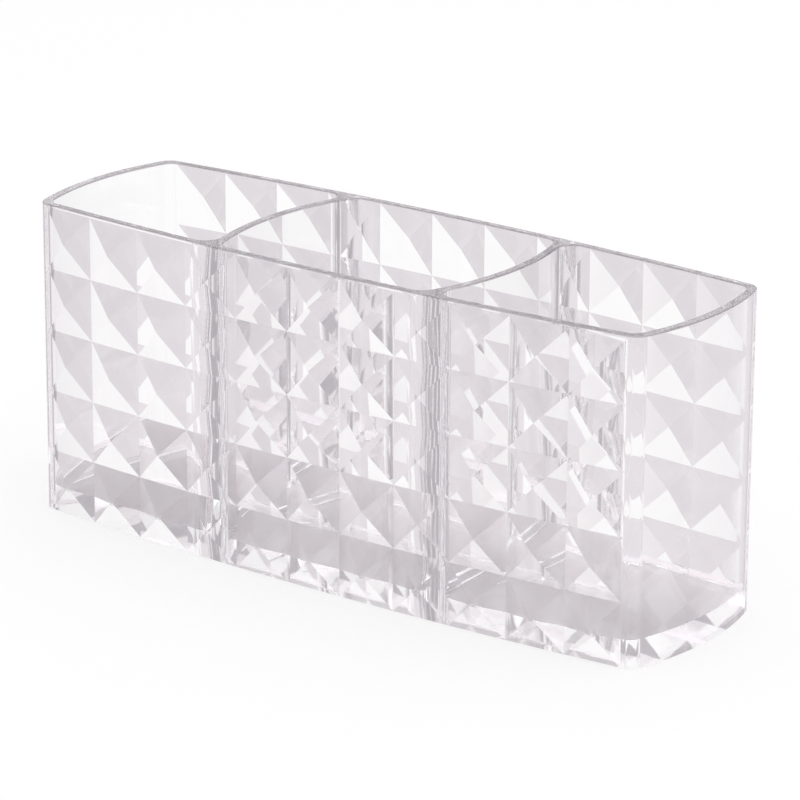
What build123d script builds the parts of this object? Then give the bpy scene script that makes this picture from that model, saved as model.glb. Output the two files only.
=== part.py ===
"""Clear three-cell brush holder with faceted long walls, in millimetres, +Z up.

The origin is at the middle of the footprint, on the surface that the holder stands on. +X runs along the row
of cells and -Y is the front. The holder is bonded from panels, dividers, end walls and floors that meet on
flat seams across the long walls and along the edges of the floors.
"""

import os
from itertools import pairwise
from math import asin, cos, pi, sin, sqrt, tan

from build123d import *

# Pyramids of the two long walls
facet_width = 19.9
facet_height = 19.8
end_facet_width = 18.8  # of the last pyramid of a row, next to a corner
facet_rise = 2.5  # height of an apex over the valleys
columns = 11
rows = 5
rim_band = 1.0  # plain band over the top row

# Plan of the walls
long_radius = 1200.0  # outside of a long wall, along its valleys
depth = 73.0  # between the valleys of the two long walls, at the middle
cross_radius = 95.0  # middle of a divider, and outside of an end wall
divider_spacing = 90.6  # between the middles of the two dividers
long_thickness = 2.5
end_thickness = 3.0
divider_thickness = 2.8
corner_radius = 5.0  # outside corners of the holder, from the last valley on
end_cell_radius = 4.2  # inside corners by the end walls
cell_radius = 5.0  # inside corners by the dividers
seam_land = 0.6  # from the end of an inside corner to the nearest seam

# Heights
floor_thickness = 8.0  # solid down to the surface that the holder stands on
rim_radius = 0.5  # rounded edges of the rim

height = rows * facet_height + rim_band
levels = (0.0, floor_thickness, height)
half_depth = depth / 2
divider_middle = divider_spacing / 2
tolerance = 1e-3

# Valleys of the front wall, each a pyramid's width from the next
column_angle = 2 * asin(facet_width / (2 * long_radius))
end_column_angle = 2 * asin(end_facet_width / (2 * long_radius))
inner_columns = columns - 2
inner_angles = [(number - inner_columns / 2) * column_angle for number in range(inner_columns + 1)]
field_angle = inner_angles[-1] + end_column_angle
valley_angles = [-field_angle, *inner_angles, field_angle]
front_valleys = [
    Vector(long_radius * sin(angle), long_radius * (1 - cos(angle)) - half_depth)
    for angle in valley_angles
]
field_end = front_valleys[-1].X
front_end = front_valleys[-1].Y

# Corner arc from the last valley to the end wall's arc
front_out = Vector(sin(field_angle), -cos(field_angle))
corner_centre = front_valleys[-1] - front_out * corner_radius
end_centre = Vector(corner_centre.X - sqrt((cross_radius - corner_radius) ** 2 - corner_centre.Y**2), 0)
corner_out = (corner_centre - end_centre).normalized()
corner_middle = corner_centre + (front_out + corner_out).normalized() * corner_radius
corner_end = end_centre + corner_out * cross_radius
end_middle = end_centre + Vector(cross_radius, 0)

# Seams beside a divider's foot, clear of its rounded corners
foot_y = half_depth - long_thickness
foot_x = divider_middle - cross_radius + sqrt(cross_radius**2 - foot_y**2)
foot_lean = asin(foot_y / cross_radius)
half_foot = divider_thickness / 2 / cos(foot_lean) + seam_land
foot_low = foot_x - half_foot - cell_radius * tan(pi / 4 - foot_lean / 2)
foot_high = foot_x + half_foot + cell_radius * tan(pi / 4 + foot_lean / 2)

# Outline of the whole holder, with straight steps from valley to valley
with BuildSketch() as end_cap:
    with BuildLine() as end_line:
        Line((field_end, 0), front_valleys[-1])
        ThreePointArc(front_valleys[-1], corner_middle, corner_end)
        mirror(about=Plane.XZ)
        ThreePointArc(corner_end, end_middle, Vector(corner_end.X, -corner_end.Y))
    make_face()

with BuildSketch() as outline:
    with BuildLine() as front_line:
        Line((-field_end, 0), front_valleys[0])
        Polyline(*front_valleys)
        Line(front_valleys[-1], (field_end, 0))
        mirror(about=Plane.XZ)
    make_face()
    add(end_cap.sketch)
    mirror(end_cap.sketch, about=Plane.YZ)

# Insides of the three cells
with BuildSketch() as between_long_walls:
    with Locations((0, long_radius - half_depth)):
        Circle(long_radius - long_thickness)
    with Locations((0, half_depth - long_radius)):
        Circle(long_radius - long_thickness, mode=Mode.INTERSECT)

with BuildSketch() as centre_cell:
    add(between_long_walls.sketch)
    for side in (-1, 1):
        with Locations((side * (divider_middle - cross_radius), 0)):
            Circle(cross_radius - divider_thickness / 2, mode=Mode.INTERSECT)
    fillet(centre_cell.vertices(), cell_radius)

with BuildSketch() as right_cell:
    add(between_long_walls.sketch)
    with Locations(end_centre):
        Circle(cross_radius - end_thickness, mode=Mode.INTERSECT)
    with Locations((divider_middle - cross_radius, 0)):
        Circle(cross_radius + divider_thickness / 2, mode=Mode.SUBTRACT)
    fillet(right_cell.vertices().group_by(Axis.X)[0], cell_radius)
    fillet(right_cell.vertices().group_by(Axis.X)[-1], end_cell_radius)

with BuildSketch() as left_cell:
    mirror(right_cell.sketch, about=Plane.YZ)

with BuildSketch() as walls:
    add(outline.sketch)
    add([left_cell.sketch, centre_cell.sketch, right_cell.sketch], mode=Mode.SUBTRACT)

# The pyramids, each on a flat base
with BuildSketch() as pyramid_base:
    Rectangle(facet_width, facet_height)

with BuildPart() as pyramid:
    loft([pyramid_base.sketch.face(), Vertex(0, 0, facet_rise)])

with BuildSketch() as end_pyramid_base:
    Rectangle(end_facet_width, facet_height)

with BuildPart() as end_pyramid:
    loft([end_pyramid_base.sketch.face(), Vertex(0, 0, facet_rise)])


def plan_between(low, high, front, back):
    """The part of the walls' plan inside a rectangle."""
    with BuildSketch() as plan:
        add(walls.sketch)
        with Locations(((low + high) / 2, (front + back) / 2)):
            Rectangle(high - low, back - front, mode=Mode.INTERSECT)
    return plan.sketch


def relief(low, high):
    """The pyramids of the front wall, cut off at two planes across it."""
    seated = []
    for column, (left, right) in enumerate(pairwise(front_valleys)):
        if right.X < low + tolerance or left.X > high - tolerance:
            continue
        shape = end_pyramid.part if column in (0, columns - 1) else pyramid.part
        along = right - left
        middle = (left + right) / 2
        for row in range(rows):
            seat = Plane(
                origin=(middle.X, middle.Y, (row + 0.5) * facet_height),
                x_dir=along,
                z_dir=along.cross(Vector(0, 0, 1)),
            )
            seated.append(seat * shape)
    with BuildPart() as field:
        add(seated)
        split(bisect_by=Plane.YZ.offset(low), keep=Keep.TOP)
        split(bisect_by=Plane.YZ.offset(high), keep=Keep.BOTTOM)
    return field.part


def stand_up(plan):
    """Raises a plan to the rim in steps, so that the band beside the floors is a face of its own."""
    for low, high in pairwise(levels):
        extrude(Plane.XY.offset(low) * plan, amount=high - low, clean=False)


def round_rim(piece, *seams):
    """Rounds the edges of the rim except those that lie on the seams."""
    rim = piece.edges().group_by(Axis.Z)[-1]
    for seam in seams:
        rim = rim.filter_by(lambda edge: abs(edge.center().X - seam) > tolerance)
    fillet(rim, rim_radius)


# Rectangles of the plan: outer_y is clear of the pyramids, inner_y is clear of the long walls
outer_y = half_depth + facet_rise
inner_y = -front_end - long_thickness - cell_radius

# Faceted panels of the long walls, between the dividers' feet and the corners
centre_plan = plan_between(-foot_low, foot_low, -outer_y, -inner_y)
centre_relief = relief(-foot_low, foot_low)
with BuildPart() as front_centre_panel:
    stand_up(centre_plan)
    add(centre_relief, clean=False)
    round_rim(front_centre_panel, -foot_low, foot_low)

with BuildPart() as back_centre_panel:
    add(mirror(front_centre_panel.part, about=Plane.XZ, mode=Mode.PRIVATE), clean=False)

right_plan = plan_between(foot_high, field_end, -outer_y, -inner_y)
right_relief = relief(foot_high, field_end)
with BuildPart() as front_right_panel:
    stand_up(right_plan)
    add(right_relief, clean=False)
    round_rim(front_right_panel, foot_high, field_end)

with BuildPart() as front_left_panel:
    add(mirror(front_right_panel.part, about=Plane.YZ, mode=Mode.PRIVATE), clean=False)

with BuildPart() as back_right_panel:
    add(mirror(front_right_panel.part, about=Plane.XZ, mode=Mode.PRIVATE), clean=False)

with BuildPart() as back_left_panel:
    add(mirror(front_left_panel.part, about=Plane.XZ, mode=Mode.PRIVATE), clean=False)

# Bowed dividers, each with a faceted foot in both long walls
front_foot_plan = plan_between(foot_low, foot_high, -outer_y, -inner_y)
back_foot_plan = plan_between(foot_low, foot_high, inner_y, outer_y)
web_plan = plan_between(foot_low, divider_middle + divider_thickness, -inner_y, inner_y)
foot_relief = relief(foot_low, foot_high)
with BuildPart() as right_divider:
    stand_up(web_plan)
    stand_up(front_foot_plan)
    stand_up(back_foot_plan)
    add(foot_relief, clean=False)
    add(mirror(foot_relief, about=Plane.XZ, mode=Mode.PRIVATE), clean=False)
    round_rim(right_divider, foot_low, foot_high)

with BuildPart() as left_divider:
    add(mirror(right_divider.part, about=Plane.YZ, mode=Mode.PRIVATE), clean=False)

# Smooth bowed end walls with the rounded corners
end_plan = plan_between(field_end, end_middle.X + end_thickness, -outer_y, outer_y)
with BuildPart() as right_end_wall:
    stand_up(end_plan)
    round_rim(right_end_wall, field_end)

with BuildPart() as left_end_wall:
    add(mirror(right_end_wall.part, about=Plane.YZ, mode=Mode.PRIVATE), clean=False)

# Thick floors, one in each cell
with BuildPart() as centre_floor:
    extrude(centre_cell.sketch, amount=floor_thickness)

with BuildPart() as right_floor:
    extrude(right_cell.sketch, amount=floor_thickness)

with BuildPart() as left_floor:
    extrude(left_cell.sketch, amount=floor_thickness)

pieces = {
    "front_left_panel": front_left_panel,
    "front_centre_panel": front_centre_panel,
    "front_right_panel": front_right_panel,
    "back_left_panel": back_left_panel,
    "back_centre_panel": back_centre_panel,
    "back_right_panel": back_right_panel,
    "left_divider": left_divider,
    "right_divider": right_divider,
    "left_end_wall": left_end_wall,
    "right_end_wall": right_end_wall,
    "left_floor": left_floor,
    "centre_floor": centre_floor,
    "right_floor": right_floor,
}

os.makedirs("parts", exist_ok=True)
for name, piece in pieces.items():
    piece.part.label = name
    export_step(piece.part, f"parts/{name}.step")
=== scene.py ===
"""Looks of the clear three-cell brush holder, in metres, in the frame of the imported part."""

from math import cos, radians, sin

import bpy
from mathutils import Matrix, Vector
from mathutils.bvhtree import BVHTree


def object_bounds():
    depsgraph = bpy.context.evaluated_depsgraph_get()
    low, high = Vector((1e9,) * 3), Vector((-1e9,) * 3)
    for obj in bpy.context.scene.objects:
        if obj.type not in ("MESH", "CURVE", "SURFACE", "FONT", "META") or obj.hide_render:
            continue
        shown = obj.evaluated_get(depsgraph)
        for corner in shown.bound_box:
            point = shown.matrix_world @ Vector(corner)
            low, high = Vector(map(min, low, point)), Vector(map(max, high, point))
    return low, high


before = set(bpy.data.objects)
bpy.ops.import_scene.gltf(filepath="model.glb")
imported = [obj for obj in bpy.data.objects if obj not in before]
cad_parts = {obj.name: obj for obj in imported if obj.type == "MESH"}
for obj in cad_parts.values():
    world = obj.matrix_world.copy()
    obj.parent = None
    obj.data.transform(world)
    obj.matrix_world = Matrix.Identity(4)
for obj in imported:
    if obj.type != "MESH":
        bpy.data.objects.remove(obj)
cad_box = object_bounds()
scene = bpy.context.scene

# Camera, at the photograph's viewing angle
VIEW_AZIMUTH = radians(37.064)
VIEW_ELEVATION = radians(18.545)
VIEW_ROLL = radians(0.324)
VIEW_DISTANCE = 1.30023
VIEW_TARGET = Vector((0, 0, 0.05))
VIEW_OFFSET = (0.00377, 0.0002)  # to the right and up
LENS = 193.146
SENSOR = 36.0

VIEW_BACK = Vector((
    sin(VIEW_AZIMUTH) * cos(VIEW_ELEVATION),
    -cos(VIEW_AZIMUTH) * cos(VIEW_ELEVATION),
    sin(VIEW_ELEVATION),
))
VIEW_RIGHT = Vector((cos(VIEW_AZIMUTH), sin(VIEW_AZIMUTH), 0))
VIEW_UP = VIEW_BACK.cross(VIEW_RIGHT)

# Plastic
PLASTIC_TONES = ((1.0, 1.0, 1.0, 1), (0.998, 0.990, 0.995, 1))
# Painted shade: darker tones for the rim faces, standing for the darker look into the rim
RIM_PAINTED_SHADE_TONES = ((0.45, 0.43, 0.45, 1), (0.38, 0.36, 0.38, 1))
RIM_DEPTH = 6e-4  # faces this close to the top are the rim
SEAM_GAP = 5e-5  # faces this close to another piece are bonded to it

# Table top
TABLE_TONES = ((0.95, 0.905, 0.94, 1), (0.97, 0.925, 0.96, 1))
TABLE_WHITE = 0.8  # share of plain white where the table is looked at directly
TABLE_REACH = 0.01  # distance from the holder at which the plastic no longer shows the table
# Painted light: a glow of the table, seen only through the plastic
GLOW_TONE = (1, 0.92, 0.97, 1)
GLOW_STRENGTHS = (0.14, 0.36)  # of the table seen through the plastic, in front and under the back
GLOW_EDGES = ((-0.005, 0.034), (0.044, 0.036))  # in y, where the stronger glow begins and ends

# Studio, with a white backdrop behind the holder and a white ceiling
STUDIO_DARK = (0.44, 0.415, 0.44, 1)
STUDIO_GREY = (0.78, 0.743, 0.77, 1)
STUDIO_PALE = (0.96, 0.94, 0.955, 1)
STUDIO_WHITE = (1.0, 1.0, 1.0, 1)
BACKDROP_EDGES = (
    (VIEW_RIGHT, -0.18, -0.10),
    (VIEW_RIGHT, 0.26, 0.16),
    (VIEW_UP, -0.125, -0.092),
)
ROOM_EDGE = (-VIEW_BACK, 0.70, 0.88)  # from the dark sides to the surroundings of the backdrop
REAR_EDGE = (VIEW_BACK, 0.1, 0.4)  # from the dark sides to the pale room in front of the holder
CEILING_EDGE = (Vector((0, 0, 1)), 0.35, 0.6)


def make_camera():
    """The photograph's camera, a little turned about its own axis."""
    right = cos(VIEW_ROLL) * VIEW_RIGHT + sin(VIEW_ROLL) * VIEW_UP
    up = cos(VIEW_ROLL) * VIEW_UP - sin(VIEW_ROLL) * VIEW_RIGHT
    place = VIEW_TARGET + VIEW_DISTANCE * VIEW_BACK
    place += VIEW_OFFSET[0] * VIEW_RIGHT + VIEW_OFFSET[1] * VIEW_UP
    lens = bpy.data.cameras.new("camera")
    lens.lens = LENS
    lens.sensor_width = SENSOR
    camera = bpy.data.objects.new("camera", lens)
    camera.matrix_world = Matrix.Translation(place) @ Matrix((right, up, VIEW_BACK)).transposed().to_4x4()
    scene.collection.objects.link(camera)
    scene.camera = camera


def add_node(tree, kind, settings=None, **inputs):
    """A shader node with its settings and the values of its named sockets."""
    node = tree.nodes.new(kind)
    for name, value in (settings or {}).items():
        setattr(node, name, value)
    for name, value in inputs.items():
        node.inputs[name.replace("_", " ")].default_value = value
    return node


def blend(tree, factor, first, second):
    """A mix of two tones, each a colour or the output of a node."""
    mix = add_node(tree, "ShaderNodeMix", {"data_type": "RGBA"})
    tree.links.new(factor, mix.inputs["Factor"])
    for socket, tone in zip((mix.inputs[6], mix.inputs[7]), (first, second)):
        if isinstance(tone, tuple):
            socket.default_value = tone
        else:
            tree.links.new(tone, socket)
    return mix.outputs[2]


def multiply(tree, first, second):
    """The product of two node outputs."""
    product = add_node(tree, "ShaderNodeMath", {"operation": "MULTIPLY"})
    tree.links.new(first, product.inputs[0])
    tree.links.new(second, product.inputs[1])
    return product.outputs["Value"]


def soft_edge(tree, value, low, high):
    """A soft rise from 0 to 1 between two values."""
    edge = add_node(tree, "ShaderNodeMapRange", {"interpolation_type": "SMOOTHSTEP"})
    edge.inputs["From Min"].default_value = low
    edge.inputs["From Max"].default_value = high
    tree.links.new(value, edge.inputs["Value"])
    return edge.outputs["Result"]


def scale(tree, value, low, high):
    """A value from 0 to 1 turned into one from low to high."""
    scaled = add_node(tree, "ShaderNodeMapRange", To_Min=low, To_Max=high)
    tree.links.new(value, scaled.inputs["Value"])
    return scaled.outputs["Result"]


def mix_shaders(tree, factor, first, second):
    """A mix of two shaders."""
    mix = add_node(tree, "ShaderNodeMixShader")
    tree.links.new(factor, mix.inputs["Fac"])
    tree.links.new(first, mix.inputs[1])
    tree.links.new(second, mix.inputs[2])
    return mix.outputs["Shader"]


def new_material(name):
    """A material with an empty tree, and its output node."""
    material = bpy.data.materials.new(name)
    material.use_nodes = True
    material.node_tree.nodes.clear()
    return material, material.node_tree, material.node_tree.nodes.new("ShaderNodeOutputMaterial")


def make_plastic(name, tones):
    """Polished clear plastic with faint flow marks from its mould, in two tones that run into each other."""
    material, tree, output = new_material(name)
    place = add_node(tree, "ShaderNodeTexCoord")
    flow = add_node(tree, "ShaderNodeTexNoise", Scale=35, Detail=2, Roughness=0.5)
    tree.links.new(place.outputs["Object"], flow.inputs["Vector"])
    marks = add_node(tree, "ShaderNodeBump", Strength=0.04, Distance=0.002)
    tree.links.new(flow.outputs["Fac"], marks.inputs["Height"])
    shader = add_node(
        tree, "ShaderNodeBsdfPrincipled", IOR=1.5, Specular_IOR_Level=0.35, Transmission_Weight=1
    )
    tree.links.new(blend(tree, flow.outputs["Fac"], *tones), shader.inputs["Base Color"])
    tree.links.new(scale(tree, flow.outputs["Fac"], 0.0, 0.05), shader.inputs["Roughness"])
    tree.links.new(marks.outputs["Normal"], shader.inputs["Normal"])
    tree.links.new(shader.outputs["BSDF"], output.inputs["Surface"])
    return material


def make_bonded_seam():
    """Faces where two pieces are bonded, through which light goes on unbent."""
    material, tree, output = new_material("bonded_seam")
    clear = add_node(tree, "ShaderNodeBsdfTransparent")
    tree.links.new(clear.outputs["BSDF"], output.inputs["Surface"])
    return material


def search_tree(mesh):
    """A search tree of a mesh's faces."""
    return BVHTree.FromPolygons([v.co for v in mesh.vertices], [p.vertices for p in mesh.polygons])


def is_bonded(face, tree):
    """Whether a face lies against one of another piece's faces."""
    _, normal, _, _ = tree.find_nearest(face.center, SEAM_GAP)
    return normal is not None and normal.dot(face.normal) < -0.9


def dress_pieces():
    """Gives every piece the clear plastic, its bonded faces the seam and its rim a deeper tint of painted
    shade.

    The deeper tint is painted shade: it stands for the darker look into the rim, a long look through
    plastic.
    """
    materials = (
        make_plastic("clear_plastic", PLASTIC_TONES),
        make_bonded_seam(),
        make_plastic("rim_painted_shade", RIM_PAINTED_SHADE_TONES),
    )
    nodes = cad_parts
    trees = {name: search_tree(node.data) for name, node in nodes.items()}
    for name, node in nodes.items():
        node.data.materials.clear()
        for material in materials:
            node.data.materials.append(material)
        others = [tree for other, tree in trees.items() if other != name]
        for face in node.data.polygons:
            if any(is_bonded(face, tree) for tree in others):
                face.material_index = 1
            elif face.center.z > cad_box[1].z - RIM_DEPTH:
                # the rim faces get the painted shade
                face.material_index = 2
            else:
                face.material_index = 0


def distance_from_holder(tree, place):
    """How far a point of the table is from the box round the holder."""
    sides = add_node(tree, "ShaderNodeVectorMath", {"operation": "ABSOLUTE"})
    tree.links.new(place, sides.inputs[0])
    beyond = add_node(tree, "ShaderNodeVectorMath", {"operation": "SUBTRACT"})
    beyond.inputs[1].default_value = (cad_box[1].x, cad_box[1].y, 0)
    tree.links.new(sides.outputs["Vector"], beyond.inputs[0])
    outside = add_node(tree, "ShaderNodeVectorMath", {"operation": "MAXIMUM"})
    tree.links.new(beyond.outputs["Vector"], outside.inputs[0])
    length = add_node(tree, "ShaderNodeVectorMath", {"operation": "LENGTH"})
    tree.links.new(outside.outputs["Vector"], length.inputs[0])
    return length.outputs["Value"]


def make_table():
    """A plain pale table top with a fine grain, which the plastic shows only near the holder."""
    material, tree, output = new_material("table")
    coordinates = add_node(tree, "ShaderNodeTexCoord")
    place = coordinates.outputs["Object"]
    path = add_node(tree, "ShaderNodeLightPath")
    through_plastic = path.outputs["Is Transmission Ray"]

    grain = add_node(tree, "ShaderNodeTexNoise", Scale=400, Detail=3)
    tree.links.new(place, grain.inputs["Vector"])
    surface = add_node(tree, "ShaderNodeBsdfPrincipled", Roughness=0.9)
    tree.links.new(blend(tree, grain.outputs["Fac"], *TABLE_TONES), surface.inputs["Base Color"])

    # Painted light: seen through the plastic, the table glows, and more under the back of the holder
    axes = add_node(tree, "ShaderNodeSeparateXYZ")
    tree.links.new(place, axes.inputs["Vector"])
    begins, ends = (soft_edge(tree, axes.outputs["Y"], *edge) for edge in GLOW_EDGES)
    glow = scale(tree, multiply(tree, begins, ends), *GLOW_STRENGTHS)
    surface.inputs["Emission Color"].default_value = GLOW_TONE
    tree.links.new(multiply(tree, glow, through_plastic), surface.inputs["Emission Strength"])

    # Looked at directly, it is nearly white and keeps a faint shadow
    white = add_node(tree, "ShaderNodeEmission", Color=STUDIO_WHITE, Strength=1)
    looked_at = scale(tree, path.outputs["Is Camera Ray"], 0.0, TABLE_WHITE)
    near = mix_shaders(tree, looked_at, surface.outputs["BSDF"], white.outputs["Emission"])

    clear = add_node(tree, "ShaderNodeBsdfTransparent")
    away = soft_edge(tree, distance_from_holder(tree, place), 0.0, TABLE_REACH)
    hidden = multiply(tree, through_plastic, away)
    tree.links.new(mix_shaders(tree, hidden, near, clear.outputs["BSDF"]), output.inputs["Surface"])

    bpy.ops.mesh.primitive_plane_add(size=8, location=(0, 0, -0.0002))
    table = bpy.context.object
    table.name = "table"
    table.data.materials.append(material)


def make_world():
    """The studio, which is plain white where the camera sees it directly."""
    world = bpy.data.worlds.new("studio")
    scene.world = world
    world.use_nodes = True
    tree = world.node_tree
    tree.nodes.clear()
    coordinates = add_node(tree, "ShaderNodeTexCoord")

    def edge_along(direction, low, high):
        along = add_node(tree, "ShaderNodeVectorMath", {"operation": "DOT_PRODUCT"})
        along.inputs[1].default_value = direction
        tree.links.new(coordinates.outputs["Generated"], along.inputs[0])
        return soft_edge(tree, along.outputs["Value"], low, high)

    lit = edge_along(*BACKDROP_EDGES[0])
    for edge in BACKDROP_EDGES[1:]:
        lit = multiply(tree, lit, edge_along(*edge))
    backdrop = blend(tree, lit, STUDIO_GREY, STUDIO_WHITE)
    room = blend(tree, edge_along(*ROOM_EDGE), STUDIO_DARK, backdrop)
    room = blend(tree, edge_along(*REAR_EDGE), room, STUDIO_PALE)
    room = blend(tree, edge_along(*CEILING_EDGE), room, STUDIO_WHITE)
    path = add_node(tree, "ShaderNodeLightPath")
    room = blend(tree, path.outputs["Is Camera Ray"], room, STUDIO_WHITE)
    light = add_node(tree, "ShaderNodeBackground", Strength=1)
    tree.links.new(room, light.inputs["Color"])
    output = tree.nodes.new("ShaderNodeOutputWorld")
    tree.links.new(light.outputs["Background"], output.inputs["Surface"])


def make_lamp():
    """One large softbox over the holder."""
    lamp = bpy.data.lights.new("softbox", "AREA")
    lamp.shape = "RECTANGLE"
    lamp.size = 1.6
    lamp.size_y = 1.6
    lamp.energy = 7
    softbox = bpy.data.objects.new("softbox", lamp)
    softbox.location = (0.5, 0.2, 1.5)
    softbox.rotation_euler = (VIEW_TARGET - softbox.location).to_track_quat("-Z", "Y").to_euler()
    scene.collection.objects.link(softbox)


make_camera()
dress_pieces()
make_table()
make_world()
make_lamp()
scene.view_settings.view_transform = "Standard"

# Light takes many turns inside the clear pieces
scene.cycles.max_bounces = 200
scene.cycles.transmission_bounces = 200
scene.cycles.glossy_bounces = 200
scene.cycles.transparent_max_bounces = 256
